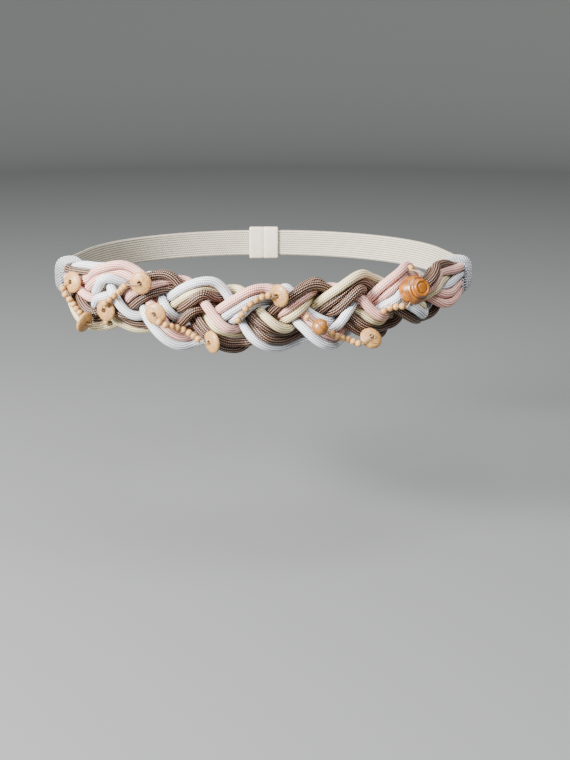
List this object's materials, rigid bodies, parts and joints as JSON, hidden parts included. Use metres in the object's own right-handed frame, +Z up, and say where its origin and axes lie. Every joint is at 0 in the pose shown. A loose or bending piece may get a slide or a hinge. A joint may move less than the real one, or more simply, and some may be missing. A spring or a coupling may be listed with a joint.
{
  "type": "rope belt",
  "caption": "Belt of satin cords plaited in three strands with strings of wooden beads laid in, bound ends and a plain band and clasp behind.",
  "frame": {"origin": "middle of the waist opening, at half the belt's height at its bound ends", "axes": "+Z up along the body, -Y towards the plaited front, +X towards the wearer's left"},
  "size_m": [0.3276, 0.2514, 0.0612],
  "materials": {
    "cord_pink": "satin-covered ribbed cord, pale pink",
    "cord_white": "satin-covered ribbed cord, cool white",
    "cord_brown": "satin-covered ribbed cord, taupe brown",
    "cord_cream": "satin-covered ribbed cord, cream",
    "birch_bead": "light turned wood, thin clear coat",
    "amber_bead": "stained wood with dark rings, thin clear coat",
    "turned_bead": "polished orange-brown wood",
    "binding_cord": "wound white cord",
    "woven_band": "plain woven webbing",
    "clasp_shell": "plain moulded clasp"
  },
  "bodies": {
    "root": {"pink_cord_1": "cord_pink", "pink_cord_2": "cord_pink", "pink_cord_3": "cord_pink", "white_cord_1": "cord_white", "white_cord_2": "cord_white", "white_cord_3": "cord_white", "brown_cord_1": "cord_brown", "brown_cord_2": "cord_brown", "brown_cord_3": "cord_brown", "brown_cord_4": "cord_brown", "cream_cord_1": "cord_cream", "cream_cord_2": "cord_cream", "end_binding_left": "binding_cord", "end_binding_right": "binding_cord", "back_band_left": "woven_band", "back_band_right": "woven_band", "back_clasp": "clasp_shell", "saucer_bead_1": "birch_bead", "saucer_bead_2": "birch_bead", "saucer_bead_3": "birch_bead", "saucer_bead_4": "birch_bead", "saucer_bead_5": "birch_bead", "saucer_bead_6": "birch_bead", "saucer_bead_7": "birch_bead", "saucer_bead_8": "birch_bead", "ball_bead": "amber_bead", "turned_bead": "turned_bead", "bead_string_1": "birch_bead", "bead_string_2": "birch_bead", "bead_string_3": "birch_bead", "bead_string_4": "birch_bead", "bead_string_5": "birch_bead", "bead_string_6": "birch_bead"}
  },
  "joints": []
}
